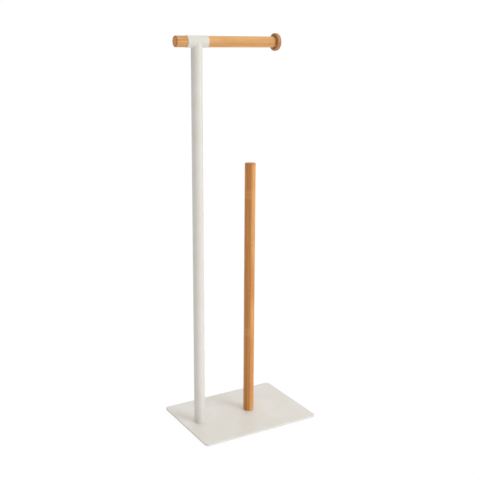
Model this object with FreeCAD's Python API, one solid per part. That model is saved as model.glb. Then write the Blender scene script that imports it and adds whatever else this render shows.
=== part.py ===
import FreeCAD
import Part

import os
from math import sqrt

from FreeCAD import Rotation, Vector

# Free-standing toilet paper stand: a coated steel plate and tee post, a bamboo bar for the roll
# in use and an upright bamboo rod for the spare rolls. All sizes are in millimetres. The origin
# is on the floor under the middle of the stand, +X runs along the bar to its stop and +Z is up.

# Base plate
PLATE_LENGTH = 211.0
PLATE_WIDTH = 154.0
PLATE_THICKNESS = 3.0
PLATE_CORNER_RADIUS = 6.0
PLATE_EDGE_ROUND = 0.6

# Soft pads under the plate
FOOT_DIAMETER = 16.0
FOOT_THICKNESS = 2.0
FOOT_CHAMFER = 0.4
FOOT_INSET = 15.0  # middle of a pad from each edge of the plate

# Post
POST_DIAMETER = 17.7
POST_WALL = 1.2
POST_INSET = 28.0  # middle of the post from the plate's left edge
BAR_HEIGHT = 623.0  # middle of the bar above the floor

# Sleeve across the top of the post
SLEEVE_OVERSIZE = 0.4  # how much wider than the post, so the cope keeps a sound edge
SLEEVE_WALL = 1.2
SLEEVE_LENGTH = 35.0
SLEEVE_END_CHAMFER = 0.4
WELD_RADIUS = 1.2

# Bamboo bar and stub in the sleeve
BAR_STEP = 0.65  # the bamboo lies this much below the sleeve's surface
BAR_REACH = 118.5  # clear length between the sleeve and the stop
STUB_REACH = 18.5
STUB_END_ROUND = 1.0
TENON_LENGTH = 12.0
TENON_CLEARANCE = 0.1
TENON_CHAMFER = 0.8
SHOULDER_CHAMFER = 0.3

# Stop on the free end of the bar
STOP_DIAMETER = 27.0
STOP_THICKNESS = 7.0
STOP_INNER_ROUND = 1.0
STOP_OUTER_ROUND = 2.5
STOP_FACE_WALL = 2.0  # bamboo left between the dowel and the outer face

# Upright rod for spare rolls
ROD_DIAMETER = 17.7
ROD_LENGTH = 429.5
ROD_SPACING = 95.0  # middle of the rod from the middle of the post
ROD_TOP_ROUND = 1.0
ROD_FOOT_CHAMFER = 0.3

# Countersunk screws through the plate, and the stud in the sleeve, on one thread size
THREAD_DIAMETER = 5.0
THREAD_CLEARANCE = 0.05
THREAD_LEAD_IN = 0.8
THREAD_TIP_CHAMFER = 0.6
SCREW_LENGTH = 16.0
HEAD_DIAMETER = 9.4
HEAD_RIM = 0.2  # straight rim round the head
HEAD_RECESS = 0.2  # head below the plate's underside
HEAD_CLEARANCE = 0.05
HOLE_CLEARANCE = 0.25
SOCKET_WIDTH = 3.0  # across the flats
SOCKET_DEPTH = 1.8
SOCKET_SIDES = 6
STUD_ENGAGEMENT = 10.0  # stud length in each insert

# Plug in the foot of the post
PLUG_LENGTH = 15.0
PLUG_CLEARANCE = 0.05
PLUG_CHAMFER = 0.8
END_RECESS = 0.3  # plug and inserts lie this far inside the ends that hold them

# Barbed inserts in the bamboo
INSERT_DIAMETER = 9.0
INSERT_LENGTH = 13.0
INSERT_CLEARANCE = 0.05
INSERT_BARBS = 3
BARB_DEPTH = 0.5
POCKET_END_CLEARANCE = 2.0

# Dowel between the bar and its stop
DOWEL_DIAMETER = 6.0
DOWEL_IN_BAR = 12.0
DOWEL_CLEARANCE = 0.05
DOWEL_END_CLEARANCE = 0.5
DOWEL_CHAMFER = 0.6
DOWEL_FLUTES = 8
FLUTE_DEPTH = 0.3
FLUTE_RADIUS = 0.5

# Levels, places and radii that follow from the sizes above
plate_bottom = FOOT_THICKNESS
plate_top = plate_bottom + PLATE_THICKNESS
stub_overhang = max(0, SLEEVE_LENGTH / 2 + STUB_REACH - POST_INSET)  # beyond the plate's left edge
plate_x = stub_overhang / 2
post_x = plate_x - PLATE_LENGTH / 2 + POST_INSET
rod_x = post_x + ROD_SPACING
post_radius = POST_DIAMETER / 2
post_bore_radius = post_radius - POST_WALL
sleeve_radius = post_radius + SLEEVE_OVERSIZE / 2
sleeve_bore_radius = sleeve_radius - SLEEVE_WALL
sleeve_left = post_x - SLEEVE_LENGTH / 2
sleeve_right = post_x + SLEEVE_LENGTH / 2
bar_radius = sleeve_radius - BAR_STEP
tenon_radius = sleeve_bore_radius - TENON_CLEARANCE
tenon_gap = SLEEVE_LENGTH - 2 * TENON_LENGTH
stop_left = sleeve_right + BAR_REACH
thread_radius = THREAD_DIAMETER / 2
tapped_radius = thread_radius + THREAD_CLEARANCE
head_radius = HEAD_DIAMETER / 2
head_height = HEAD_RIM + head_radius - thread_radius  # right-angled countersink
screw_seat = plate_bottom + HEAD_RECESS
screw_reach = screw_seat + SCREW_LENGTH - plate_top
insert_pocket_radius = INSERT_DIAMETER / 2 + INSERT_CLEARANCE
dowel_hole_radius = DOWEL_DIAMETER / 2 + DOWEL_CLEARANCE
stop_hole_depth = STOP_THICKNESS - STOP_FACE_WALL

ORIGIN = Vector(0, 0, 0)
X_AXIS = Vector(1, 0, 0)
Y_AXIS = Vector(0, 1, 0)
Z_AXIS = Vector(0, 0, 1)
MATCH = 1e-4  # how closely an edge has to lie to the place it is looked up by


def turned(corners):
    """Solid turned about +Z from the (radius, height) corners of half its section."""
    points = [Vector(radius, 0, height) for radius, height in corners]
    outline = Part.makePolygon(points + points[:1])
    return Part.Face(outline).revolve(ORIGIN, Z_AXIS, 360)


def rims(solid, places):
    """Circular edges of a turned solid at the given (radius, height) places."""
    found = []
    for edge in solid.Edges:
        if not isinstance(edge.Curve, Part.Circle):
            continue
        for radius, height in places:
            same_radius = abs(edge.Curve.Radius - radius) < MATCH
            same_height = abs(edge.Curve.Center.z - height) < MATCH
            if same_radius and same_height:
                found.append(edge)
    return found


def round_rims(solid, size, *places):
    """Turned solid with the rims at the given places rounded."""
    return solid.makeFillet(size, rims(solid, places))


def drilled(solid, radius, depth, height, direction=Z_AXIS):
    """Solid with a blind hole on the Z axis, from a height and in a direction."""
    return solid.cut(Part.makeCylinder(radius, depth, Vector(0, 0, height), direction))


def stand_up(solid, x, height):
    """Piece made about +Z, set upright over a place on the plate's centre line."""
    return solid.translated(Vector(x, 0, height))


def lay_along_bar(solid, x, towards_stop=True):
    """Piece made about +Z, laid on the bar's axis and pointing to the stop or away from it."""
    angle = 90 if towards_stop else -90
    return solid.rotated(ORIGIN, Y_AXIS, angle).translated(Vector(x, 0, BAR_HEIGHT))


def countersunk_screw():
    """Hex-socket screw standing on its head."""
    tip_radius = thread_radius - THREAD_TIP_CHAMFER
    screw = turned([
        (0, 0), (head_radius, 0), (head_radius, HEAD_RIM), (thread_radius, head_height),
        (thread_radius, SCREW_LENGTH - THREAD_TIP_CHAMFER), (tip_radius, SCREW_LENGTH), (0, SCREW_LENGTH),
    ])
    corner = Vector(SOCKET_WIDTH / sqrt(3), 0, 0)
    turn = 360 / SOCKET_SIDES
    points = [Rotation(Z_AXIS, side * turn).multVec(corner) for side in range(SOCKET_SIDES)]
    socket = Part.Face(Part.makePolygon(points + points[:1])).extrude(Z_AXIS * SOCKET_DEPTH)
    return screw.cut(socket)


def screw_hole():
    """Countersunk hole through the plate, cut from the plate's underside upwards."""
    mouth = head_radius + HEAD_CLEARANCE
    hole = thread_radius + HOLE_CLEARANCE
    rim = HEAD_RECESS + HEAD_RIM
    neck = rim + mouth - hole
    end = max(PLATE_THICKNESS, neck) + HEAD_RIM
    return turned([(0, 0), (mouth, 0), (mouth, rim), (hole, neck), (hole, end), (0, end)])


def base_plate():
    """Flat plate with round corners, softened edges and two countersunk holes underneath."""
    corner = Vector(plate_x - PLATE_LENGTH / 2, -PLATE_WIDTH / 2, plate_bottom)
    plate = Part.makeBox(PLATE_LENGTH, PLATE_WIDTH, PLATE_THICKNESS, corner)
    upright = [edge for edge in plate.Edges if edge.BoundBox.ZLength > MATCH]
    plate = plate.makeFillet(PLATE_CORNER_RADIUS, upright)
    outline = [edge for edge in plate.Edges if edge.BoundBox.ZLength < MATCH]
    plate = plate.makeFillet(PLATE_EDGE_ROUND, outline)
    for x in (post_x, rod_x):
        plate = plate.cut(stand_up(screw_hole(), x, plate_bottom))
    return plate


def foot():
    """Round pad with a chamfered lower rim."""
    radius = FOOT_DIAMETER / 2
    return turned([
        (0, 0), (radius - FOOT_CHAMFER, 0), (radius, FOOT_CHAMFER),
        (radius, FOOT_THICKNESS), (0, FOOT_THICKNESS),
    ])


def feet():
    """One pad near each corner of the plate, by name."""
    x = PLATE_LENGTH / 2 - FOOT_INSET
    y = PLATE_WIDTH / 2 - FOOT_INSET
    pads = {}
    for row, side_y in (("front", -y), ("back", y)):
        for column, side_x in (("left", -x), ("right", x)):
            pads[f"foot_{row}_{column}"] = foot().translated(Vector(plate_x + side_x, side_y, 0))
    return pads


def post_tube():
    """Tube coped to the sleeve, with the weld that runs round the cope."""
    height = BAR_HEIGHT - plate_top
    foot_middle = Vector(post_x, 0, plate_top)
    post = Part.makeCylinder(post_radius, height, foot_middle)
    sleeve = Part.makeCylinder(sleeve_radius, SLEEVE_LENGTH, Vector(sleeve_left, 0, BAR_HEIGHT), X_AXIS)
    joined = post.fuse(sleeve)
    lowest = BAR_HEIGHT - sleeve_radius
    cope = [
        edge for edge in joined.Edges
        if edge.BoundBox.ZLength > MATCH
        and edge.BoundBox.ZMin > lowest - WELD_RADIUS
        and edge.BoundBox.ZMax < BAR_HEIGHT
    ]
    welded = joined.makeFillet(WELD_RADIUS, cope)
    bore = Part.makeCylinder(post_bore_radius, height, foot_middle)
    return welded.cut(sleeve).cut(bore)


def tee_sleeve():
    """Level tube with chamfered ends, open right through."""
    end_radius = sleeve_radius - SLEEVE_END_CHAMFER
    tube = turned([
        (sleeve_bore_radius, 0), (end_radius, 0), (sleeve_radius, SLEEVE_END_CHAMFER),
        (sleeve_radius, SLEEVE_LENGTH - SLEEVE_END_CHAMFER), (end_radius, SLEEVE_LENGTH),
        (sleeve_bore_radius, SLEEVE_LENGTH),
    ])
    return lay_along_bar(tube, sleeve_left)


def post_plug():
    """Tapped plug, with its outer end and its thread chamfered."""
    radius = post_bore_radius - PLUG_CLEARANCE
    plug = turned([
        (tapped_radius + THREAD_LEAD_IN, 0), (radius, 0), (radius, PLUG_LENGTH - PLUG_CHAMFER),
        (radius - PLUG_CHAMFER, PLUG_LENGTH), (tapped_radius, PLUG_LENGTH), (tapped_radius, THREAD_LEAD_IN),
    ])
    return stand_up(plug, post_x, plate_top + END_RECESS)


def threaded_insert():
    """Barbed insert with its mouth at zero height and its barbs pointing back to the mouth."""
    crest = INSERT_DIAMETER / 2
    root = crest - BARB_DEPTH
    pitch = INSERT_LENGTH / INSERT_BARBS
    corners = [(tapped_radius + THREAD_LEAD_IN, 0)]
    for barb in range(INSERT_BARBS):
        corners.append((crest, barb * pitch))
        corners.append((root, (barb + 1) * pitch))
    corners.append((tapped_radius, INSERT_LENGTH))
    corners.append((tapped_radius, THREAD_LEAD_IN))
    return turned(corners)


def pocket_depth(thread_length):
    """Depth of an insert's pocket that also clears the end of the thread in it."""
    return END_RECESS + max(INSERT_LENGTH, thread_length) + POCKET_END_CLEARANCE


def tenoned(reach):
    """Round bamboo length on a shoulder at zero height, with a tenon and its insert pocket below."""
    piece = turned([
        (0, -TENON_LENGTH), (tenon_radius - TENON_CHAMFER, -TENON_LENGTH),
        (tenon_radius, TENON_CHAMFER - TENON_LENGTH), (tenon_radius, 0),
        (bar_radius - SHOULDER_CHAMFER, 0), (bar_radius, SHOULDER_CHAMFER), (bar_radius, reach), (0, reach),
    ])
    return drilled(piece, insert_pocket_radius, pocket_depth(STUD_ENGAGEMENT), -TENON_LENGTH)


def bar_stub():
    """Short bamboo end to the left of the sleeve, with a softened end."""
    stub = round_rims(tenoned(STUB_REACH), STUB_END_ROUND, (bar_radius, STUB_REACH))
    return lay_along_bar(stub, sleeve_left, towards_stop=False)


def roll_bar():
    """Bamboo bar to the right of the sleeve, drilled for the stop's dowel."""
    depth = DOWEL_IN_BAR + DOWEL_END_CLEARANCE
    bar = drilled(tenoned(BAR_REACH), dowel_hole_radius, depth, BAR_REACH, -Z_AXIS)
    return lay_along_bar(bar, sleeve_right)


def bar_stud():
    """Headless threaded stud that bridges the gap between the two tenons."""
    length = tenon_gap + 2 * (END_RECESS + STUD_ENGAGEMENT)
    tip = thread_radius - THREAD_TIP_CHAMFER
    stud = turned([
        (0, 0), (tip, 0), (thread_radius, THREAD_TIP_CHAMFER),
        (thread_radius, length - THREAD_TIP_CHAMFER), (tip, length), (0, length),
    ])
    return lay_along_bar(stud, post_x - length / 2)


def bar_inserts():
    """The inserts in the two tenons, by name, each mouth facing the middle of the sleeve."""
    mouth = tenon_gap / 2 + END_RECESS
    return {
        "stub_insert": lay_along_bar(threaded_insert(), post_x - mouth, towards_stop=False),
        "bar_insert": lay_along_bar(threaded_insert(), post_x + mouth),
    }


def bar_stop():
    """Disc with a softly rounded outer rim and a blind hole for the dowel in its inner face."""
    radius = STOP_DIAMETER / 2
    disc = turned([(0, 0), (radius, 0), (radius, STOP_THICKNESS), (0, STOP_THICKNESS)])
    disc = round_rims(disc, STOP_INNER_ROUND, (radius, 0))
    disc = round_rims(disc, STOP_OUTER_ROUND, (radius, STOP_THICKNESS))
    return lay_along_bar(drilled(disc, dowel_hole_radius, stop_hole_depth, 0), stop_left)


def stop_dowel():
    """Fluted dowel with chamfered ends, half in the bar and half in the stop."""
    radius = DOWEL_DIAMETER / 2
    length = DOWEL_IN_BAR + stop_hole_depth - DOWEL_END_CLEARANCE
    tip = radius - DOWEL_CHAMFER
    dowel = turned([
        (0, 0), (tip, 0), (radius, DOWEL_CHAMFER),
        (radius, length - DOWEL_CHAMFER), (tip, length), (0, length),
    ])
    flute_centre = Vector(radius + FLUTE_RADIUS - FLUTE_DEPTH, 0, 0)
    flute = Part.makeCylinder(FLUTE_RADIUS, length, flute_centre)
    for step in range(DOWEL_FLUTES):
        dowel = dowel.cut(flute.rotated(ORIGIN, Z_AXIS, 360 * step / DOWEL_FLUTES))
    return lay_along_bar(dowel, stop_left - DOWEL_IN_BAR)


def spare_rod():
    """Upright bamboo rod with a softened top, drilled underneath for its insert."""
    radius = ROD_DIAMETER / 2
    rod = turned([
        (0, 0), (radius - ROD_FOOT_CHAMFER, 0), (radius, ROD_FOOT_CHAMFER),
        (radius, ROD_LENGTH), (0, ROD_LENGTH),
    ])
    rod = round_rims(rod, ROD_TOP_ROUND, (radius, ROD_LENGTH))
    rod = drilled(rod, insert_pocket_radius, pocket_depth(screw_reach), 0)
    return stand_up(rod, rod_x, plate_top)


def pieces():
    """Every piece of the stand, by name."""
    stand = {"base_plate": base_plate()}
    stand.update(feet())
    stand["post_tube"] = post_tube()
    stand["post_plug"] = post_plug()
    stand["post_screw"] = stand_up(countersunk_screw(), post_x, screw_seat)
    stand["tee_sleeve"] = tee_sleeve()
    stand["bar_stub"] = bar_stub()
    stand["roll_bar"] = roll_bar()
    stand["bar_stud"] = bar_stud()
    stand.update(bar_inserts())
    stand["bar_stop"] = bar_stop()
    stand["stop_dowel"] = stop_dowel()
    stand["spare_rod"] = spare_rod()
    stand["rod_insert"] = stand_up(threaded_insert(), rod_x, plate_top + END_RECESS)
    stand["rod_screw"] = stand_up(countersunk_screw(), rod_x, screw_seat)
    return stand


os.makedirs("parts", exist_ok=True)
for name, solid in pieces().items():
    solid.exportStep(f"parts/{name}.step")
    print(f"{name}: {len(solid.Solids)} solid, {solid.Volume:.1f} mm3, valid {solid.isValid()}")
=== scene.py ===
"""Looks of a free-standing toilet paper stand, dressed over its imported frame.

A coated steel plate on four pads carries a coated steel post and a bamboo spare rod. The post ends in a
welded sleeve, and the sleeve holds a short bamboo stub and a bamboo roll bar with a round end stop.
"""

import logging
import math
from dataclasses import dataclass, field, replace
from enum import Enum
from functools import cache, partial

import bmesh
import bpy
from mathutils import Matrix, Vector


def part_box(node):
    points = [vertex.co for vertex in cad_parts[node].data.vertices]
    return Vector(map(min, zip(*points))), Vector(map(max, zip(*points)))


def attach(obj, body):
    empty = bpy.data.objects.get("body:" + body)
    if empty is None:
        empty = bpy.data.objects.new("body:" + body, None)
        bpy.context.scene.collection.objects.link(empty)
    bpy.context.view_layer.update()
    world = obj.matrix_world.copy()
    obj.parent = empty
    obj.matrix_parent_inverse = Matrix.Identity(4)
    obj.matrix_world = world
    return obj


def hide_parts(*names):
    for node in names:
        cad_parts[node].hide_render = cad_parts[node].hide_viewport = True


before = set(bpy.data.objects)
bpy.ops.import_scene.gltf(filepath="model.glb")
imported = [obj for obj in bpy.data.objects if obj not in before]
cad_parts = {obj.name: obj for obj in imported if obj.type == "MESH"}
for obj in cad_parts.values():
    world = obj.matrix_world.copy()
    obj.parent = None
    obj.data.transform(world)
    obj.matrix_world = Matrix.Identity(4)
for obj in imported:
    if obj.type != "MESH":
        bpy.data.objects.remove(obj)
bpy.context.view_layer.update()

LOG = logging.getLogger("stand")
MM = 0.001
WHITE = (1, 1, 1, 1)
TURN_STEPS = 96
FINE_STEPS = 3
EDGE_STEPS = 4
ROUND_STEPS = 5
WIDE_STEPS = 8
SMOOTH_ANGLE = math.radians(32)
WELD_DISTANCE = 1e-7
RIM_TOLERANCE = 1e-6
LEVEL_FACE = 0.999
EDGE_AND_SHADE_ATTRIBUTE = "rounded_edge_and_painted_shade"
END_ATTRIBUTE = "end_grain"
VALUE_OPERATIONS = ("LENGTH", "DOT_PRODUCT")
FIBRE_LAYERS = {"Fine": (1.0, 3.0), "Broad": (0.2, 2.0)}
FIBRE_ROUGHNESS = 0.6

Colour = tuple[float, float, float, float]
Triple = tuple[float, float, float]
Span = tuple[float, float]
Section = list[Span]
Socket = bpy.types.NodeSocket
Piece = bpy.types.Object


class Run(Enum):
    """Which way a turned piece, or the fibres of a wooden one, run."""

    UPRIGHT = (0, 0, 1)
    ALONG_BAR = (1, 0, 0)
    ACROSS = (0, 1, 0)

    @property
    def axis(self) -> Vector:
        """Unit vector along the run."""
        return Vector(self.value)

    @property
    def tilt(self) -> tuple[float, float]:
        """Angles about X and Y that bring the run upright in a pattern."""
        along_bar, across, _ = self.value
        return math.radians(90 * across), math.radians(-90 * along_bar)


class Slot(Enum):
    """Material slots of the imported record."""

    COATED_STEEL = "coated_steel"
    BAMBOO = "bamboo"
    PAD_RUBBER = "pad_rubber"


class Speckle(Enum):
    """Layers of a speckled surface, by their names in the shared effect."""

    GRAIN = "Grain"
    CLOUDS = "Clouds"


SPECKLE_DETAIL = {Speckle.GRAIN: 2.0, Speckle.CLOUDS: 3.0}


@dataclass(frozen=True)
class Box:
    """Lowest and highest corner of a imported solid, in metres."""

    low: Vector
    high: Vector

    @classmethod
    def of(cls, node: str) -> "Box":
        """Reads a node's corners from the frame."""
        return cls(*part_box(node))

    @property
    def centre(self) -> Vector:
        """Middle of the box."""
        return (self.low + self.high) / 2

    @property
    def size(self) -> Vector:
        """Extent of the box along each axis."""
        return self.high - self.low


def packed(node: str) -> Box:
    """Makes a class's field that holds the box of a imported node."""
    return field(default_factory=partial(Box.of, node))


class Network:
    """Nodes of one material, world or node group, added and linked in one go."""

    def __init__(self, tree: bpy.types.NodeTree) -> None:
        """Empties the tree, so that only the nodes added here are in it."""
        self.tree = tree
        tree.nodes.clear()

    def add(self, kind: str, sockets: dict | None = None, **options: object) -> bpy.types.Node:
        """Adds a node, sets its options and fills its inputs.

        Args:
            kind: Blender's name for the type of node.
            sockets: Values, or outputs to link from, by input name or index.
            options: Settings of the node itself.

        Returns:
            The new node.
        """
        node = self.tree.nodes.new(kind)
        for option, value in options.items():
            setattr(node, option, value)
        for key, value in (sockets or {}).items():
            if isinstance(value, Socket):
                self.tree.links.new(value, node.inputs[key])
            else:
                node.inputs[key].default_value = value
        return node

    def math(self, operation: str, *values: object, clamp: bool = False) -> Socket:
        """Adds a Math node on numbers or outputs, with its result kept from 0 to 1 if clamped."""
        node = self.add("ShaderNodeMath", dict(enumerate(values)), operation=operation, use_clamp=clamp)
        return node.outputs[0]

    def vector(self, operation: str, *values: object) -> Socket:
        """Adds a Vector Math node on vectors or outputs."""
        node = self.add("ShaderNodeVectorMath", dict(enumerate(values)), operation=operation)
        return node.outputs["Value" if operation in VALUE_OPERATIONS else "Vector"]

    def noise(self, place: Socket, scale: object, detail: float, roughness: float = 0.5) -> Socket:
        """Adds a cloudy pattern of a scale, with detail from finer layers of a roughness."""
        sockets = {"Vector": place, "Scale": scale, "Detail": detail, "Roughness": roughness}
        return self.add("ShaderNodeTexNoise", sockets).outputs["Fac"]

    def fade(self, value: Socket, full: float, none: float) -> Socket:
        """Turns a value into a soft mask, 1 where the value is full and 0 where it is none."""
        sockets = {"Value": value, "From Min": none, "From Max": full}
        return self.add("ShaderNodeMapRange", sockets, interpolation_type="SMOOTHSTEP").outputs["Result"]

    def between(self, value: Socket, low: float, high: float) -> Socket:
        """Spreads a value from 0 to 1 over the range from low to high."""
        sockets = {"Value": value, "To Min": low, "To Max": high}
        return self.add("ShaderNodeMapRange", sockets).outputs["Result"]

    def blend(self, share: object, start: object, end: object, mode: str = "MIX") -> Socket:
        """Lays a second colour on the first, by its share and in one of Blender's modes."""
        node = self.add("ShaderNodeMix", {0: share, 6: start, 7: end}, data_type="RGBA", blend_type=mode)
        return node.outputs[2]

    def cover(self, colour: Socket, mask: Socket, depth: object, paint: Colour) -> Socket:
        """Lays paint over a colour, where the mask is and as strong as the depth says."""
        return self.blend(self.math("MULTIPLY", mask, depth), colour, paint)

    def ramp(self, value: Socket, stops: list[tuple[float, Colour]]) -> Socket:
        """Colours a value by a ramp.

        Args:
            value: Place on the ramp.
            stops: Colours and their places.

        Returns:
            The colour.
        """
        node = self.add("ShaderNodeValToRGB", {"Fac": value})
        elements = node.color_ramp.elements
        while len(elements) < len(stops):
            elements.new(1.0)
        for element, (place, colour) in zip(elements, stops):
            element.position = place
            element.color = colour
        return node.outputs["Color"]

    def group(self, tree: bpy.types.NodeTree, sockets: dict) -> bpy.types.Node:
        """Places a shared effect with its own values."""
        return self.add("ShaderNodeGroup", sockets, node_tree=tree)

    def place(self) -> Socket:
        """Adds the coordinates of the piece itself."""
        return self.add("ShaderNodeTexCoord").outputs["Object"]

    def turned_place(self, turn: Triple, shift: Triple = (0.0, 0.0, 0.0)) -> Socket:
        """Adds the piece's coordinates, turned about X, Y and Z and then shifted."""
        sockets = {"Vector": self.place(), "Rotation": turn, "Location": shift}
        return self.add("ShaderNodeMapping", sockets).outputs[0]

    def mark(self, name: str) -> Socket:
        """Adds a value that the piece's faces carry."""
        return self.add("ShaderNodeAttribute", attribute_name=name).outputs["Fac"]

    def relief(self, height: Socket, depth: float, share: float) -> Socket:
        """Turns a height from 0 to 1 into the normals of a relief, its depth in metres."""
        bump = self.add("ShaderNodeBump", {"Height": height, "Distance": depth, "Strength": share})
        return bump.outputs["Normal"]


def open_group(name: str, inputs: dict[str, str], outputs: dict[str, str]) -> tuple[Network, dict, dict]:
    """Starts a shared shader node group.

    Args:
        name: Name of the group.
        inputs: Socket types of its inputs by name.
        outputs: Socket types of its outputs by name.

    Returns:
        Its network, the sockets its inputs arrive at, and the sockets that its results go to.
    """
    tree = bpy.data.node_groups.new(name, "ShaderNodeTree")
    for direction, sockets in {"INPUT": inputs, "OUTPUT": outputs}.items():
        for socket, kind in sockets.items():
            tree.interface.new_socket(socket, in_out=direction, socket_type=kind)
    network = Network(tree)
    arrivals = network.add("NodeGroupInput").outputs
    results = network.add("NodeGroupOutput").inputs
    return network, arrivals, results


@cache
def fibre_effect() -> bpy.types.NodeTree:
    """Builds, once for all woods, long streaks along the pattern's Z.

    Returns:
        The group, with fine and broad streaks as its results.
    """
    inputs = {"Place": "NodeSocketVector", "Across": "NodeSocketFloat", "Along": "NodeSocketFloat"}
    outputs = {result: "NodeSocketFloat" for result in FIBRE_LAYERS}
    network, arrivals, results = open_group("fibres", inputs, outputs)
    across = arrivals["Across"]
    stretch = network.add("ShaderNodeCombineXYZ", {"X": across, "Y": across, "Z": arrivals["Along"]})
    stretched = network.vector("MULTIPLY", arrivals["Place"], stretch.outputs[0])
    for result, (scale, detail) in FIBRE_LAYERS.items():
        streaks = network.noise(stretched, scale, detail, FIBRE_ROUGHNESS)
        network.tree.links.new(streaks, results[result])
    return network.tree


@cache
def speckle_effect() -> bpy.types.NodeTree:
    """Builds, once for coats, rubber and bare metal, a fine grain over soft clouds.

    Returns:
        The group, with the grain and the clouds as its results.
    """
    outputs = {layer.value: "NodeSocketFloat" for layer in SPECKLE_DETAIL}
    network, arrivals, results = open_group("speckle", {"Place": "NodeSocketVector", **outputs}, outputs)
    for layer, detail in SPECKLE_DETAIL.items():
        spots = network.noise(arrivals["Place"], arrivals[layer.value], detail)
        network.tree.links.new(spots, results[layer.value])
    return network.tree


@dataclass(frozen=True)
class Finish:
    """What every finish has: a name, and a material that is built the first time it is asked for."""

    name: str

    def material(self) -> bpy.types.Material:
        """Finds the finish's material, or builds it.

        Returns:
            The material.
        """
        found = bpy.data.materials.get(self.name)
        if found is None:
            found = bpy.data.materials.new(self.name)
            found.use_nodes = True
            network = Network(found.node_tree)
            shader = network.add("ShaderNodeBsdfPrincipled", self.looks(network))
            end = network.add("ShaderNodeOutputMaterial", {"Surface": shader.outputs[0]})
            end.is_active_output = True
        return found

    def looks(self, network: Network) -> dict[str, object]:
        """Draws the finish and gives what goes into the shader's inputs, by their names."""
        raise NotImplementedError


@dataclass(frozen=True)
class Speckled(Finish):
    """What coat, metal and rubber have: a fine grain over soft clouds of tone."""

    light: Colour
    shade: Colour
    grain_per_metre: float
    clouds_per_metre: float
    rough: Span
    relief_depth: float
    relief_share: float
    rough_layer: Speckle = Speckle.GRAIN
    grain_share: float = 0.0
    tones: Span = (0.35, 0.65)
    metallic: float = 0.0

    def looks(self, network: Network) -> dict[str, object]:
        """Lays the grain over the clouds.

        Args:
            network: Nodes of the material.

        Returns:
            What goes into the shader's inputs.
        """
        pattern = {"Place": network.place(), "Grain": self.grain_per_metre, "Clouds": self.clouds_per_metre}
        speckle = network.group(speckle_effect(), pattern).outputs
        tone = network.math("MULTIPLY_ADD", speckle["Grain"], self.grain_share, speckle["Clouds"])
        return {
            "Base Color": self.colour(network, tone),
            "Roughness": network.between(speckle[self.rough_layer.value], *self.rough),
            "Metallic": self.metallic,
            "Normal": network.relief(speckle["Grain"], self.relief_depth, self.relief_share),
        }

    def colour(self, network: Network, tone: Socket) -> Socket:
        """Colours the surface by its tone."""
        shade_below, light_above = self.tones
        return network.blend(network.fade(tone, light_above, shade_below), self.shade, self.light)


@dataclass(frozen=True)
class PowderCoat(Speckled):
    """Warm white powder coat with a fine grain, a little lighter over the rounded edges."""

    light: Colour = (0.78, 0.755, 0.705, 1)
    shade: Colour = (0.745, 0.72, 0.65, 1)
    grain_per_metre: float = 1900.0
    clouds_per_metre: float = 26.0
    rough: Span = (0.42, 0.56)
    relief_depth: float = 0.06 * MM
    relief_share: float = 0.35
    grain_share: float = 0.5
    tones: Span = (0.55, 0.95)
    edge: Colour = (0.80, 0.775, 0.725, 1)

    def colour(self, network: Network, tone: Socket) -> Socket:
        """Colours the coat by its tone, and the edges apart."""
        return network.blend(network.mark(EDGE_AND_SHADE_ATTRIBUTE), super().colour(network, tone), self.edge)


@dataclass(frozen=True)
class BareMetal(Speckled):
    """Plated or bare metal of the screws, stud, plug and inserts."""

    light: Colour = (0.72, 0.73, 0.74, 1)
    shade: Colour = (0.56, 0.57, 0.58, 1)
    grain_per_metre: float = 3500.0
    clouds_per_metre: float = 420.0
    rough: Span = (0.24, 0.42)
    relief_depth: float = 0.02 * MM
    relief_share: float = 0.2
    rough_layer: Speckle = Speckle.CLOUDS
    metallic: float = 1.0


@dataclass(frozen=True)
class PadRubber(Speckled):
    """Pale matt rubber of the pads, with moulding grain."""

    light: Colour = (0.58, 0.57, 0.54, 1)
    shade: Colour = (0.48, 0.47, 0.45, 1)
    grain_per_metre: float = 2600.0
    clouds_per_metre: float = 180.0
    rough: Span = (0.70, 0.88)
    relief_depth: float = 0.08 * MM
    relief_share: float = 0.5


@dataclass(frozen=True)
class Beech(Finish):
    """Plain fluted beech of the stop's dowel, with its fibres along the bar."""

    light: Colour = (0.66, 0.45, 0.27, 1)
    shade: Colour = (0.50, 0.31, 0.17, 1)
    fibres_across: float = 2400.0
    fibres_along: float = 90.0
    tones: Span = (0.35, 0.65)
    rough: Span = (0.55, 0.75)
    relief_depth: float = 0.05 * MM
    relief_share: float = 0.3

    def looks(self, network: Network) -> dict[str, object]:
        """Draws short fibres along the bar.

        Args:
            network: Nodes of the material.

        Returns:
            What goes into the shader's inputs.
        """
        place = network.turned_place((*Run.ALONG_BAR.tilt, 0.0))
        pattern = {"Place": place, "Across": self.fibres_across, "Along": self.fibres_along}
        fibres = network.group(fibre_effect(), pattern).outputs
        shade_below, light_above = self.tones
        light_mask = network.fade(fibres["Fine"], light_above, shade_below)
        return {
            "Base Color": network.blend(light_mask, self.shade, self.light),
            "Roughness": network.between(fibres["Broad"], *self.rough),
            "Normal": network.relief(fibres["Fine"], self.relief_depth, self.relief_share),
        }


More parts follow.
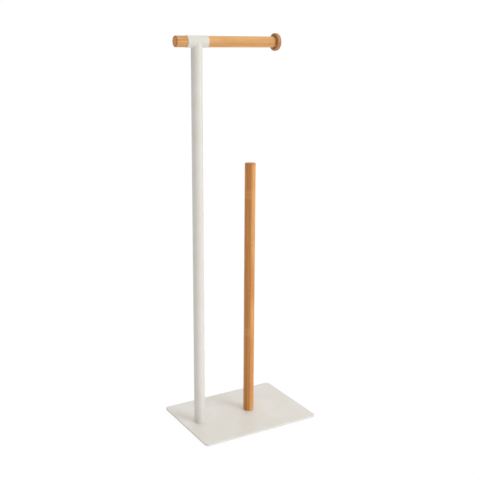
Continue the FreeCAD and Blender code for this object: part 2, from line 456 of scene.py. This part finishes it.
@dataclass(frozen=True)
class Bamboo(Finish):
    """Lacquered caramel bamboo: glued strips with fibres, growth rings and dark flecks."""

    # Lie of the pattern on the piece, and how far the piece leans to paler strips
    run: Run = Run.UPRIGHT
    turn: float = 0.0
    shift: Triple = (0.0, 0.0, 0.0)
    lean: float = 0.0
    # Colours
    pale: Colour = (0.79, 0.44, 0.155, 1)
    middle: Colour = (0.69, 0.34, 0.103, 1)
    dark: Colour = (0.45, 0.180, 0.045, 1)
    flushed: Colour = (0.56, 0.21, 0.050, 1)
    scorched_and_shade: Colour = (0.17, 0.065, 0.020, 1)
    end: Colour = (0.98, 0.86, 0.84, 1)
    # Strips and the spread of their tones
    tone_places: Triple = (0.12, 0.5, 0.9)
    tone_drop: float = 0.37
    spread: float = 0.5
    alternate: float = 0.0
    layer: float = 5.6 * MM
    strip: float = 15.0 * MM
    strip_step: float = 0.37
    # Fibres, and the reddish flushes along them
    fibres_across: float = 1700.0
    fibres_along: float = 12.0
    fine_share: float = 0.75
    flush_pattern: Triple = (90.0, 90.0, 13.0)
    flush_detail: float = 2.0
    flush_range: Span = (0.68, 0.42)
    flush_share: float = 0.4
    # Growth rings with their pale halos
    ring_spacing: float = 235.0 * MM
    ring_step: float = 0.357
    ring_width: float = 3.2 * MM
    ring_ragged: float = 5.0 * MM
    ring_fibres: Span = (0.35, 0.62)
    ring_depth: float = 0.35
    halo_width: float = 11.0 * MM
    halo_depth: float = 0.35
    # Glue lines between the layers, and flecks
    glue_line: float = 0.16 * MM
    seam_depth: float = 0.45
    end_seam_depth: float = 0.12
    flecks: tuple[Triple, ...] = ()
    fleck_depth: float = 0.45
    fleck_width: float = 0.9 * MM
    fleck_length: float = 2.2 * MM
    fleck_reach: Span = (0.3, 1.2)
    # Darker rounded edges, painted shade on the rings marked like them, and the lacquered surface
    edge_and_shade_depth: float = 0.4
    rough: Span = (0.66, 0.52)
    end_rough: float = 0.2
    lacquer: float = 0.05
    lacquer_rough: float = 0.35
    relief_depth: float = 0.05 * MM
    relief_share: float = 0.4

    def looks(self, network: Network) -> dict[str, object]:
        """Colours the strips one by one and draws their fibres, rings, glue lines and flecks.

        Args:
            network: Nodes of the material.

        Returns:
            What goes into the shader's inputs.
        """
        place = network.turned_place((*self.run.tilt, math.radians(self.turn)), self.shift)
        parts = network.add("ShaderNodeSeparateXYZ", {0: place}).outputs
        stack = network.math("DIVIDE", parts["X"], self.layer)
        layer = network.math("FLOOR", stack)
        strips = network.math("DIVIDE", parts["Y"], self.strip)
        row = network.math("FLOOR", network.math("MULTIPLY_ADD", layer, self.strip_step, strips))
        strip = network.add("ShaderNodeCombineXYZ", {"X": layer, "Y": row}).outputs[0]
        chance = network.add("ShaderNodeTexWhiteNoise", {"Vector": strip}).outputs["Color"]
        own_place = network.vector("ADD", place, chance)
        pattern = {"Place": own_place, "Across": self.fibres_across, "Along": self.fibres_along}
        fibres = network.group(fibre_effect(), pattern).outputs

        colour = self.strip_colour(network, layer, chance, fibres)
        flush_place = network.vector("MULTIPLY", own_place, self.flush_pattern)
        flush = network.fade(network.noise(flush_place, 1.0, self.flush_detail), *self.flush_range)
        colour = network.cover(colour, flush, self.flush_share, self.flushed)

        halo, mark = self.rings(network, layer, parts["Z"], fibres)
        colour = network.cover(colour, halo, self.halo_depth, self.pale)
        colour = network.cover(colour, mark, self.ring_depth, self.scorched_and_shade)

        aside = network.math("ABSOLUTE", network.math("SUBTRACT", network.math("FRACT", stack), 0.5))
        seam = network.fade(aside, 0.5, 0.5 - self.glue_line / self.layer)
        end_mask = network.mark(END_ATTRIBUTE)
        seam_depth = network.between(end_mask, self.seam_depth, self.end_seam_depth)
        colour = network.cover(colour, seam, seam_depth, self.scorched_and_shade)
        for fleck in self.flecks:
            colour = self.fleck(network, colour, fleck)
        colour = network.blend(end_mask, colour, self.end, "MULTIPLY")
        # Darkens the rounded edges, and paints shade on the rings marked like them, such as round the bar
        # on the stop
        colour = network.cover(colour, network.mark(EDGE_AND_SHADE_ATTRIBUTE), self.edge_and_shade_depth, self.scorched_and_shade)

        rough = network.between(fibres["Fine"], *self.rough)
        height = network.math("SUBTRACT", fibres["Fine"], network.math("MAXIMUM", seam, mark))
        return {
            "Base Color": colour,
            "Roughness": network.math("MULTIPLY_ADD", end_mask, self.end_rough, rough),
            "Coat Weight": self.lacquer,
            "Coat Roughness": self.lacquer_rough,
            "Normal": network.relief(height, self.relief_depth, self.relief_share),
        }

    def strip_colour(self, network: Network, layer: Socket, chance: Socket, fibres: dict) -> Socket:
        """Colours each strip by its own tone and its fibres.

        Args:
            network: Nodes of the material.
            layer: Number of the strip's layer.
            chance: The strip's own random draw.
            fibres: Fine and broad streaks.

        Returns:
            The colour.
        """
        draw = network.add("ShaderNodeSeparateColor", {0: chance}).outputs
        streaks = network.math("MULTIPLY_ADD", fibres["Fine"], self.fine_share, fibres["Broad"])
        tone = network.math("MULTIPLY_ADD", draw["Red"], self.spread, streaks)
        other = network.math("FRACT", network.math("MULTIPLY", layer, 0.5))
        tone = network.math("MULTIPLY_ADD", other, self.alternate, tone)
        tone = network.math("ADD", tone, self.lean - self.tone_drop - self.spread / 2, clamp=True)
        return network.ramp(tone, list(zip(self.tone_places, (self.dark, self.middle, self.pale))))

    def rings(self, network: Network, layer: Socket, along: Socket, fibres: dict) -> tuple[Socket, Socket]:
        """Finds the growth rings, each layer's at its own heights.

        Args:
            network: Nodes of the material.
            layer: Number of the strip's layer.
            along: Place along the fibres.
            fibres: Fine and broad streaks.

        Returns:
            Masks of the pale halo round the rings, and of the rings' ragged marks.
        """
        phase = network.math("MULTIPLY", layer, self.ring_step)
        ring = network.math("FRACT", network.math("MULTIPLY_ADD", along, 1 / self.ring_spacing, phase))
        away = network.math("ABSOLUTE", network.math("SUBTRACT", ring, 0.5))
        away = network.math("MULTIPLY", away, self.ring_spacing)
        lag = network.math("SUBTRACT", fibres["Broad"], 0.5)
        ragged = network.math("MULTIPLY_ADD", lag, self.ring_ragged, away)
        dark_fibres = network.fade(fibres["Fine"], *self.ring_fibres)
        mark = network.math("MULTIPLY", network.fade(ragged, 0.0, self.ring_width), dark_fibres)
        return network.fade(away, 0.0, self.halo_width), mark

    def fleck(self, network: Network, colour: Socket, place: Triple) -> Socket:
        """Lays one short dark fleck over the colour of an upright piece.

        Args:
            network: Nodes of the material.
            colour: Colour under the fleck.
            place: Middle of the fleck on the piece.

        Returns:
            The colour with the fleck.
        """
        stretch = (1 / self.fleck_width, 1 / self.fleck_width, 1 / self.fleck_length)
        away = network.vector("MULTIPLY", network.vector("SUBTRACT", network.place(), place), stretch)
        mask = network.fade(network.vector("LENGTH", away), *self.fleck_reach)
        return network.cover(colour, mask, self.fleck_depth, self.scorched_and_shade)


@dataclass(frozen=True)
class WhiteFloor(Finish):
    """Floor that is pale for the light, and white with only faint shadows for the camera."""

    tone: Span = (0.88, 0.07)
    glow: Span = (0.095, 0.935)
    rough: float = 0.9
    gloss: float = 0.1

    def looks(self, network: Network) -> dict[str, object]:
        """Gives the light the first tone and glow, and the camera the second.

        Args:
            network: Nodes of the material.

        Returns:
            What goes into the shader's inputs.
        """
        seen = network.add("ShaderNodeLightPath").outputs["Is Camera Ray"]
        return {
            "Base Color": network.between(seen, *self.tone),
            "Roughness": self.rough,
            "Specular IOR Level": self.gloss,
            "Emission Color": WHITE,
            "Emission Strength": network.between(seen, *self.glow),
        }


def at_level(vertex: bmesh.types.BMVert, level: float) -> bool:
    """Tells whether a vertex lies at a height."""
    return abs(vertex.co.z - level) < RIM_TOLERANCE


def add_object(name: str, data: bpy.types.ID) -> Piece:
    """Adds an object to the scene, at the origin.

    Args:
        name: Name of the object.
        data: Its mesh, light or camera.

    Returns:
        The object.
    """
    added = bpy.data.objects.new(name, data)
    bpy.context.scene.collection.objects.link(added)
    return added


class Shape:
    """A closed mesh that bmesh operators shape before it becomes a piece."""

    def __init__(self) -> None:
        """Starts an empty mesh whose faces can be marked as rounded edges, painted shade or end grain."""
        self.mesh = bmesh.new()
        self.edge_and_shade_mark = self.mesh.faces.layers.float.new(EDGE_AND_SHADE_ATTRIBUTE)
        self.end_mark = self.mesh.faces.layers.float.new(END_ATTRIBUTE)

    @classmethod
    def turned(cls, section: Section, closed: bool = False) -> "Shape":
        """Turns half a section about the upright axis.

        Args:
            section: Corners as distances from the axis and along it.
            closed: Whether the section is a ring clear of the axis.

        Returns:
            The turned shape.
        """
        shape = cls()
        mesh = shape.mesh
        corners = [mesh.verts.new((radius, 0, along)) for radius, along in section]
        ends = corners[1:] + corners[:1] if closed else corners[1:]
        lines = [mesh.edges.new(pair) for pair in zip(corners, ends)]
        bmesh.ops.spin(
            mesh, geom=corners + lines, axis=(0, 0, 1), angle=math.tau, steps=TURN_STEPS, use_merge=True
        )
        shape.close()
        return shape

    def close(self) -> None:
        """Merges doubles and turns the faces outwards."""
        bmesh.ops.remove_doubles(self.mesh, verts=self.mesh.verts, dist=WELD_DISTANCE)
        bmesh.ops.recalc_face_normals(self.mesh, faces=self.mesh.faces)

    def bevel(self, items: list, size: float, segments: int, affect: str) -> list[bmesh.types.BMFace]:
        """Rounds edges or vertices and gives the new faces."""
        made = bmesh.ops.bevel(
            self.mesh,
            geom=items,
            offset=size,
            offset_type="OFFSET",
            affect=affect,
            segments=segments,
            profile=0.5,
            material=-1,
        )
        return made["faces"]

    def round_edges(self, edges: list[bmesh.types.BMEdge], size: float, segments: int) -> None:
        """Rounds edges and marks the new faces."""
        for face in self.bevel(edges, size, segments, "EDGES"):
            face[self.edge_and_shade_mark] = 1.0

    def ring(self, radius: float, place: Vector, steps: int) -> list[bmesh.types.BMEdge]:
        """Adds a level circle with nothing inside, and gives its edges."""
        circle = bmesh.ops.create_circle(
            self.mesh, segments=steps, radius=radius, cap_ends=False, matrix=Matrix.Translation(place)
        )
        return list({edge for corner in circle["verts"] for edge in corner.link_edges})

    def soften_rim(self, radius: float, along: float, size: float, segments: int = ROUND_STEPS) -> None:
        """Rounds one rim of a turned shape that still stands on the axis.

        Args:
            radius: Distance of the rim from the axis.
            along: Height of the rim.
            size: Width of the round on each side.
            segments: Steps of the round.
        """
        level = [vertex for vertex in self.mesh.verts if at_level(vertex, along)]
        rim = {vertex for vertex in level if abs(vertex.co.xy.length - radius) < RIM_TOLERANCE}
        edges = [edge for edge in self.mesh.edges if rim.issuperset(edge.verts)]
        self.round_edges(edges, size, segments)

    def shade_ring(self, along: float, inside: float, outside: float, depth: float) -> None:
        """Darkens a flat ring of a turned shape that still stands on the axis with the rounded edges' mark;
        on the stop this paints shade round the bar.

        Args:
            along: Height of the ring.
            inside: Least distance from the axis.
            outside: Greatest distance from the axis.
            depth: Strength of the mark, 1 on a rounded edge.
        """
        for face in self.mesh.faces:
            level = all(at_level(corner, along) for corner in face.verts)
            if level and inside < face.calc_center_median().xy.length < outside:
                face[self.edge_and_shade_mark] = depth

    def lay(self, run: Run, place: Vector) -> None:
        """Turns an upright shape along its run and moves it.

        Args:
            run: Which way the shape's axis goes.
            place: Where its origin goes.
        """
        turn = Vector((0, 0, 1)).rotation_difference(run.axis).to_matrix()
        bmesh.ops.rotate(self.mesh, verts=self.mesh.verts, cent=(0, 0, 0), matrix=turn)
        bmesh.ops.translate(self.mesh, verts=self.mesh.verts, vec=place)

    def mark_end_grain(self, run: Run) -> None:
        """Marks each face by how squarely the fibres meet it.

        Args:
            run: Which way the fibres go.
        """
        self.mesh.normal_update()
        for face in self.mesh.faces:
            face[self.end_mark] = abs(face.normal.dot(run.axis))

    def piece(self, name: str, finish: Finish, slot: Slot, *nodes: str) -> Piece:
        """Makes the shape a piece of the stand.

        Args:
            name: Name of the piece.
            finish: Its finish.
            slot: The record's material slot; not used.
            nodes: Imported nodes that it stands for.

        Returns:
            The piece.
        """
        self.close()
        data = bpy.data.meshes.new(name)
        self.mesh.to_mesh(data)
        self.mesh.free()
        data.shade_smooth()
        data.set_sharp_from_angle(angle=SMOOTH_ANGLE)
        data.materials.append(finish.material())
        piece = add_object(name, data)
        even = piece.modifiers.new("even_shading", "WEIGHTED_NORMAL")
        even.keep_sharp = True
        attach(piece, "root")
        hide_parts(*nodes)
        return piece


def dress_nodes(finish: Finish, *nodes: str) -> list[Piece]:
    """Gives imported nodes, which keep their own shape, a detailed finish.

    Args:
        finish: The finish.
        nodes: Names of the nodes.

    Returns:
        The nodes' objects.
    """
    dressed = [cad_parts[node] for node in nodes]
    for piece in dressed:
        for slot in piece.material_slots:
            slot.material = finish.material()
    return dressed


COAT = PowderCoat("warm_white_coat_finish")
STEEL = BareMetal("plated_steel_finish")
BRASS = BareMetal("brass_finish", (0.86, 0.68, 0.36, 1), (0.72, 0.52, 0.24, 1), rough=(0.20, 0.36))
RUBBER = PadRubber("pad_rubber_finish")
BEECH = Beech("beech_finish")


@dataclass
class BasePlate:
    """Coated steel plate with its rubber pads and the two screws that come up through it."""

    box: Box = packed("base_plate")
    corner_radius: float = 6.0 * MM
    corner_segments: int = 14
    edge_round: float = 0.6 * MM
    screw_slack: float = 0.1 * MM
    screw_rim: float = 0.4 * MM
    screw_radius: float = 2.6 * MM
    hole_segments: int = 64
    pad_round: float = 0.4 * MM
    screws: tuple[str, ...] = ("post_screw", "rod_screw")
    pad_places: tuple[str, ...] = ("front_left", "front_right", "back_left", "back_right")

    def build(self) -> list[Piece]:
        """Builds the plate and its pads, and dresses the screws."""
        pads = [self.pad(place) for place in self.pad_places]
        return [self.plate(), *pads, *dress_nodes(STEEL, *self.screws)]

    def plate(self) -> Piece:
        """Builds the plate with round corners, round edges and two countersunk holes.

        Returns:
            The plate.
        """
        shape = Shape()
        self.block(shape)
        low, high = self.box.low.z, self.box.high.z
        flats = [face for face in shape.mesh.faces if abs(face.normal.z) > LEVEL_FACE]
        bmesh.ops.delete(shape.mesh, geom=flats, context="FACES_ONLY")
        for screw in self.screws:
            self.hole(shape, Box.of(screw))
        for level in (low, high):
            open_edges = [edge for edge in shape.mesh.edges if edge.is_boundary]
            rims = [edge for edge in open_edges if all(at_level(end, level) for end in edge.verts)]
            bmesh.ops.triangle_fill(shape.mesh, edges=rims, use_beauty=True)
        return shape.piece("coated_plate", COAT, Slot.COATED_STEEL, "base_plate")

    def block(self, shape: Shape) -> None:
        """Shapes the plate's solid outline, without its holes.

        Args:
            shape: The empty shape to fill.
        """
        mesh = shape.mesh
        corners = bmesh.ops.create_grid(mesh, x_segments=1, y_segments=1, size=0.5)["verts"]
        bmesh.ops.scale(mesh, verts=corners, vec=self.box.size)
        bmesh.ops.translate(mesh, verts=corners, vec=(*self.box.centre.xy, self.box.low.z))
        shape.bevel(corners, self.corner_radius, self.corner_segments, "VERTICES")
        raised = bmesh.ops.extrude_face_region(mesh, geom=mesh.faces[:])["geom"]
        lifted = [item for item in raised if isinstance(item, bmesh.types.BMVert)]
        bmesh.ops.translate(mesh, verts=lifted, vec=(0, 0, self.box.size.z))
        bmesh.ops.recalc_face_normals(mesh, faces=mesh.faces)
        rims = [edge for edge in mesh.edges if at_level(edge.verts[0], edge.verts[1].co.z)]
        shape.round_edges(rims, self.edge_round, EDGE_STEPS)
        mesh.normal_update()

    def hole(self, shape: Shape, screw: Box) -> None:
        """Sinks one screw hole through the plate.

        Args:
            shape: The plate, open above and below.
            screw: Corners of the screw.
        """
        mouth = screw.size.x / 2 + self.screw_slack
        neck = self.screw_radius + self.screw_slack
        low, high = self.box.low.z, self.box.high.z
        rim = low + self.screw_rim
        levels = [(mouth, low), (mouth, rim), (neck, rim + mouth - neck), (neck, high)]
        rings = [
            shape.ring(radius, Vector((*screw.centre.xy, height)), self.hole_segments)
            for radius, height in levels
        ]
        for lower, upper in zip(rings, rings[1:]):
            bmesh.ops.bridge_loops(shape.mesh, edges=lower + upper)

    def pad(self, place: str) -> Piece:
        """Builds one rubber pad.

        Args:
            place: Which corner it stands under.

        Returns:
            The pad.
        """
        node = f"foot_{place}"
        box = Box.of(node)
        radius = box.size.x / 2
        shape = Shape.turned([(0, box.low.z), (radius, box.low.z), (radius, box.high.z), (0, box.high.z)])
        for height in (box.low.z, box.high.z):
            shape.soften_rim(radius, height, self.pad_round, EDGE_STEPS)
        shape.lay(Run.UPRIGHT, box.centre.xy.to_3d())
        return shape.piece(f"pad_{place}", RUBBER, Slot.PAD_RUBBER, node)


@dataclass
class Post:
    """Coated steel post, coped and welded to the sleeve that it carries."""

    plate: Box = packed("base_plate")
    plug: Box = packed("post_plug")
    sleeve_box: Box = packed("tee_sleeve")
    radius: float = 8.85 * MM
    wall: float = 1.2 * MM
    weld_leg: float = 1.2 * MM
    weld_thin_share: float = 0.25
    weld_steps: int = 6
    sleeve_round: float = 0.4 * MM

    def build(self) -> list[Piece]:
        """Builds the post and the sleeve, and dresses the plug in the post's foot."""
        return [self.tube(), self.sleeve(), *dress_nodes(STEEL, "post_plug")]

    def seat(self, radius: float, angle: float) -> Vector:
        """Finds where the sleeve's underside lies over the post.

        Args:
            radius: Distance from the post's axis.
            angle: Direction from the axis, 0 along the bar.

        Returns:
            The point on the sleeve, from the foot of the post's axis.
        """
        aside = radius * math.sin(angle)
        drop = math.sqrt((self.sleeve_box.size.z / 2) ** 2 - aside**2)
        return Vector((radius * math.cos(angle), aside, self.sleeve_box.centre.z - drop))

    def foot(self, radius: float, angle: float) -> Vector:
        """Finds a point of the post's foot by its distance and direction from the axis."""
        return Vector((radius * math.cos(angle), radius * math.sin(angle), self.plate.high.z))

    def weld(self, share: float, angle: float) -> Vector:
        """Finds a point of the weld, which runs out from the post onto the sleeve.

        Args:
            share: 0 where the weld leaves the post, 1 where it meets the sleeve.
            angle: Direction from the axis, 0 along the bar.

        Returns:
            The point, from the foot of the post's axis.
        """
        corner = self.seat(self.radius, angle)
        width = abs(math.cos(angle))
        height = self.weld_thin_share + (1 - self.weld_thin_share) * width
        start = corner - Vector((0, 0, self.weld_leg * height))
        end = self.seat(self.radius + self.weld_leg * width, angle)
        return start.lerp(corner, share).lerp(corner.lerp(end, share), share)

    def tube(self) -> Piece:
        """Draws the tube ring by ring: up outside, over the weld, and down inside.

        Returns:
            The post.
        """
        inside = self.radius - self.wall
        shape = Shape()
        loop = shape.ring(self.radius, Vector((0, 0, self.plate.high.z)), TURN_STEPS)
        lines = [partial(self.weld, step / self.weld_steps) for step in range(self.weld_steps + 1)]
        lines += [partial(self.seat, inside), partial(self.foot, inside), partial(self.foot, self.radius)]
        for line in lines:
            grown = bmesh.ops.extrude_edge_only(shape.mesh, edges=loop)["geom"]
            loop = [item for item in grown if isinstance(item, bmesh.types.BMEdge)]
            for vertex in {end for edge in loop for end in edge.verts}:
                vertex.co = line(math.atan2(vertex.co.y, vertex.co.x))
        shape.lay(Run.UPRIGHT, self.plug.centre.xy.to_3d())
        return shape.piece("coated_post", COAT, Slot.COATED_STEEL, "post_tube")

    def sleeve(self) -> Piece:
        """Builds the sleeve, a short tube with eased ends.

        Returns:
            The sleeve.
        """
        box = self.sleeve_box
        outside = box.size.z / 2
        inside = outside - self.wall
        ends = (box.low.x, box.high.x)
        shape = Shape.turned(
            [(outside, ends[0]), (outside, ends[1]), (inside, ends[1]), (inside, ends[0])], closed=True
        )
        for end in ends:
            shape.soften_rim(outside, end, self.sleeve_round, EDGE_STEPS)
        shape.lay(Run.ALONG_BAR, Vector((0, 0, box.centre.z)))
        return shape.piece("coated_sleeve", COAT, Slot.COATED_STEEL, "tee_sleeve")


@dataclass
class RollBar:
    """Bamboo stub and roll bar on either side of the sleeve, with the bar's end stop."""

    sleeve: Box = packed("tee_sleeve")
    stub_box: Box = packed("bar_stub")
    bar_box: Box = packed("roll_bar")
    stop_box: Box = packed("bar_stop")
    dowel: Box = packed("stop_dowel")
    stub_insert: Box = packed("stub_insert")
    bar_insert: Box = packed("bar_insert")
    tenon_radius: float = 7.75 * MM
    shoulder_round: float = 0.3 * MM
    stub_round: float = 1.0 * MM
    stop_inner_round: float = 1.0 * MM
    stop_outer_round: float = 2.5 * MM
    stub_ring: float = 1.7 * MM
    stub_ring_depth: float = 1.0
    # Painted shade on the stop's inner face round the bar, where the bar meets the stop
    painted_shade_ring: float = 2.0 * MM
    painted_shade_depth: float = 2.5
    stub_finish: Bamboo = Bamboo(
        "stub_bamboo_finish", Run.ALONG_BAR, 62.0, (0.0009, 0.0, 0.21), 0.1, glue_line=1.0 * MM
    )
    bar_finish: Bamboo = Bamboo(
        "bar_bamboo_finish", Run.ALONG_BAR, 120.0, (-0.0014, -0.0038, 0.672), 0.17, ring_step=0.0
    )
    stop_finish: Bamboo = Bamboo(
        "stop_bamboo_finish",
        Run.ACROSS,
        90.0,
        (0.0023, 0.0, 0.33),
        pale=(0.68, 0.385, 0.17, 1),
        middle=(0.58, 0.305, 0.13, 1),
        dark=(0.43, 0.19, 0.072, 1),
        end=(1.06, 0.96, 1.05, 1),
    )

    def build(self) -> list[Piece]:
        """Builds the bamboo pieces and dresses what holds them together."""
        return [
            self.stub(),
            self.bar(),
            self.stop(),
            *dress_nodes(STEEL, "bar_stud"),
            *dress_nodes(BRASS, "stub_insert", "bar_insert"),
            *dress_nodes(BEECH, "stop_dowel"),
        ]

    def laid(self, name: str, shape: Shape, finish: Bamboo, node: str) -> Piece:
        """Lays a turned shape along the bar and makes it a bamboo piece.

        Args:
            name: Name of the piece.
            shape: The turned shape, with places along the bar as its heights.
            finish: Its bamboo.
            node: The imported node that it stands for.

        Returns:
            The piece.
        """
        shape.lay(Run.ALONG_BAR, Vector((0, 0, self.sleeve.centre.z)))
        shape.mark_end_grain(finish.run)
        return shape.piece(name, finish, Slot.BAMBOO, node)

    def stub(self) -> Piece:
        """Builds the stub, with its tenon in the sleeve and a pocket for its insert.

        Returns:
            The stub.
        """
        radius = self.stub_box.size.y / 2
        pocket = self.stub_insert.size.y / 2
        end, shoulder, mouth = self.stub_box.low.x, self.sleeve.low.x, self.stub_box.high.x
        shape = Shape.turned([
            (0, end),
            (radius - self.stub_ring, end),
            (radius, end),
            (radius, shoulder),
            (self.tenon_radius, shoulder),
            (self.tenon_radius, mouth),
            (pocket, mouth),
            (pocket, self.stub_insert.low.x),
            (0, self.stub_insert.low.x),
        ])
        shape.soften_rim(radius, end, self.stub_round)
        shape.soften_rim(radius, shoulder, self.shoulder_round, FINE_STEPS)
        shape.shade_ring(end, radius - self.stub_ring, radius, self.stub_ring_depth)
        return self.laid("bamboo_stub", shape, self.stub_finish, "bar_stub")

    def bar(self) -> Piece:
        """Builds the roll bar, with its tenon, its insert's pocket and the dowel's hole.

        Returns:
            The bar.
        """
        radius = self.stub_box.size.y / 2
        pocket = self.bar_insert.size.y / 2
        dowel = self.dowel.size.y / 2
        mouth, shoulder, end = self.bar_box.low.x, self.sleeve.high.x, self.bar_box.high.x
        shape = Shape.turned([
            (0, self.bar_insert.high.x),
            (pocket, self.bar_insert.high.x),
            (pocket, mouth),
            (self.tenon_radius, mouth),
            (self.tenon_radius, shoulder),
            (radius, shoulder),
            (radius, end),
            (dowel, end),
            (dowel, self.dowel.low.x),
            (0, self.dowel.low.x),
        ])
        shape.soften_rim(radius, shoulder, self.shoulder_round, FINE_STEPS)
        return self.laid("bamboo_bar", shape, self.bar_finish, "roll_bar")

    def stop(self) -> Piece:
        """Builds the end stop, a round disc with the dowel's hole and painted shade round the bar in its
        inner face.

        Returns:
            The stop.
        """
        radius = self.stop_box.size.z / 2
        dowel = self.dowel.size.y / 2
        # Outer edge of the painted shade round the bar
        seat = self.stub_box.size.y / 2 + self.painted_shade_ring
        inner, outer = self.stop_box.low.x, self.stop_box.high.x
        shape = Shape.turned([
            (0, self.dowel.high.x),
            (dowel, self.dowel.high.x),
            (dowel, inner),
            (seat, inner),
            (radius, inner),
            (radius, outer),
            (0, outer),
        ])
        shape.soften_rim(radius, inner, self.stop_inner_round)
        shape.soften_rim(radius, outer, self.stop_outer_round, WIDE_STEPS)
        # Paints shade on the stop's inner face round the bar
        shape.shade_ring(inner, 0, seat, self.painted_shade_depth)
        return self.laid("bamboo_stop", shape, self.stop_finish, "bar_stop")


@dataclass
class SpareRod:
    """Upright bamboo rod for spare rolls, screwed down through its insert."""

    box: Box = packed("spare_rod")
    insert: Box = packed("rod_insert")
    top_round: float = 1.0 * MM
    foot_round: float = 0.3 * MM
    finish: Bamboo = Bamboo(
        "rod_bamboo_finish",
        Run.UPRIGHT,
        30.0,
        (0.0126, 0.0, 0.9757),
        lean=-0.06,
        pale=(0.80, 0.405, 0.125, 1),
        middle=(0.645, 0.28, 0.070, 1),
        dark=(0.43, 0.150, 0.031, 1),
        flush_share=0.6,
        spread=0.2,
        alternate=0.7,
        layer=11.0 * MM,
    )
    fleck_heights: tuple[float, ...] = (241.0 * MM, 223.0 * MM, 213.0 * MM)
    fleck_angle: float = 243.0

    def build(self) -> list[Piece]:
        """Builds the rod and dresses its insert."""
        return [self.rod(), *dress_nodes(BRASS, "rod_insert")]

    def rod(self) -> Piece:
        """Builds the rod, with a pocket for its insert.

        Returns:
            The rod.
        """
        radius = self.box.size.x / 2
        pocket = self.insert.size.x / 2
        foot, top = self.box.low.z, self.box.high.z
        shape = Shape.turned([
            (0, self.insert.high.z),
            (pocket, self.insert.high.z),
            (pocket, foot),
            (radius, foot),
            (radius, top),
            (0, top),
        ])
        shape.soften_rim(radius, foot, self.foot_round, FINE_STEPS)
        shape.soften_rim(radius, top, self.top_round)
        middle = self.insert.centre.xy.to_3d()
        shape.lay(Run.UPRIGHT, middle)
        shape.mark_end_grain(self.finish.run)
        angle = math.radians(self.fleck_angle)
        side = middle + radius * Vector((math.cos(angle), math.sin(angle), 0))
        flecks = tuple((side.x, side.y, height) for height in self.fleck_heights)
        flecked = replace(self.finish, flecks=flecks)
        return shape.piece("bamboo_rod", flecked, Slot.BAMBOO, "spare_rod")


@dataclass(frozen=True)
class Lamp:
    """One wide soft lamp, far away."""

    name: str
    heading: float
    height: float
    strength: float
    spread: float = 20.0

    def hang(self) -> None:
        """Hangs the lamp where it shines from its heading, an angle from +X towards +Y."""
        data = bpy.data.lights.new(self.name, "SUN")
        data.energy = self.strength
        data.angle = math.radians(self.spread)
        heading, height = math.radians(self.heading), math.radians(self.height)
        towards = Vector((math.cos(heading), math.sin(heading), math.tan(height)))
        add_object(self.name, data).rotation_euler = towards.to_track_quat("Z", "Y").to_euler()


@dataclass(frozen=True)
class Studio:
    """White floor, soft light from the front right, and a camera at the photograph's angle."""

    camera_place: tuple[float, float, float] = (-0.624067, -1.070440, 0.620140)
    camera_yaw: float = 30.366
    camera_pitch: float = 14.062
    camera_roll: float = 0.282
    lens: float = 58.773
    view_limit: float = 100.0
    floor_half: float = 14.0
    floor_drop: float = 0.2 * MM
    lamps: tuple[Lamp, ...] = (
        Lamp("broad_lamp", -50.4, 8.0, 0.92),
        Lamp("shadow_lamp", -68.0, 50.0, 0.60),
    )
    sky_top: float = 0.79
    sky_top_from: float = 0.7
    sky_side: float = 0.71
    side_heading: float = 60.0
    sky_seen: float = 1.02

    def build(self) -> None:
        """Sets up everything around the stand."""
        bpy.context.scene.view_settings.view_transform = "Standard"
        self.camera()
        self.floor()
        for lamp in self.lamps:
            lamp.hang()
        self.sky()

    def camera(self) -> None:
        """Places the camera by its yaw from +Y, its pitch down and its roll."""
        data = bpy.data.cameras.new("camera")
        data.lens = self.lens
        data.clip_end = self.view_limit
        place = Matrix.Translation(self.camera_place)
        turns = ((-self.camera_yaw, "Z"), (90 - self.camera_pitch, "X"), (self.camera_roll, "Z"))
        for angle, axis in turns:
            place = place @ Matrix.Rotation(math.radians(angle), 4, axis)
        camera = add_object("camera", data)
        camera.matrix_world = place
        bpy.context.scene.camera = camera

    def floor(self) -> None:
        """Lays a wide white floor just under the pads."""
        mesh = bmesh.new()
        bmesh.ops.create_grid(mesh, x_segments=1, y_segments=1, size=self.floor_half)
        bmesh.ops.translate(mesh, verts=mesh.verts, vec=(0, 0, -self.floor_drop))
        data = bpy.data.meshes.new("floor")
        mesh.to_mesh(data)
        mesh.free()
        data.materials.append(WhiteFloor("white_floor").material())
        floor = add_object("floor", data)

    def sky(self) -> None:
        """Surrounds the stand with white light, from above and from one side, all white when seen."""
        world = bpy.data.worlds.new("white_studio")
        world.use_nodes = True
        bpy.context.scene.world = world
        network = Network(world.node_tree)
        ahead = network.add("ShaderNodeTexCoord").outputs["Generated"]
        height = network.add("ShaderNodeSeparateXYZ", {0: ahead}).outputs["Z"]
        shine = network.math("MULTIPLY", network.fade(height, self.sky_top_from, 0.0), self.sky_top)
        heading = math.radians(self.side_heading)
        side = (math.cos(heading), math.sin(heading), 0)
        facing = network.math("MAXIMUM", network.vector("DOT_PRODUCT", ahead, side), 0)
        shine = network.math("MULTIPLY_ADD", network.math("MULTIPLY", facing, facing), self.sky_side, shine)
        seen = network.add("ShaderNodeLightPath").outputs["Is Camera Ray"]
        strength = network.add("ShaderNodeMix", {0: seen, 2: shine, 3: self.sky_seen}).outputs[0]
        light = network.add("ShaderNodeBackground", {"Color": WHITE, "Strength": strength})
        network.add("ShaderNodeOutputWorld", {"Surface": light.outputs[0]})


def main() -> None:
    """Builds the studio and the stand's sub-assemblies, and reports each piece."""
    logging.basicConfig(level=logging.INFO, format="%(name)s: %(message)s")
    Studio().build()
    for part in (BasePlate(), Post(), RollBar(), SpareRod()):
        for piece in part.build():
            LOG.info("%s: %s, %d faces", type(part).__name__, piece.name, len(piece.data.polygons))


if __name__ == "__main__":
    main()
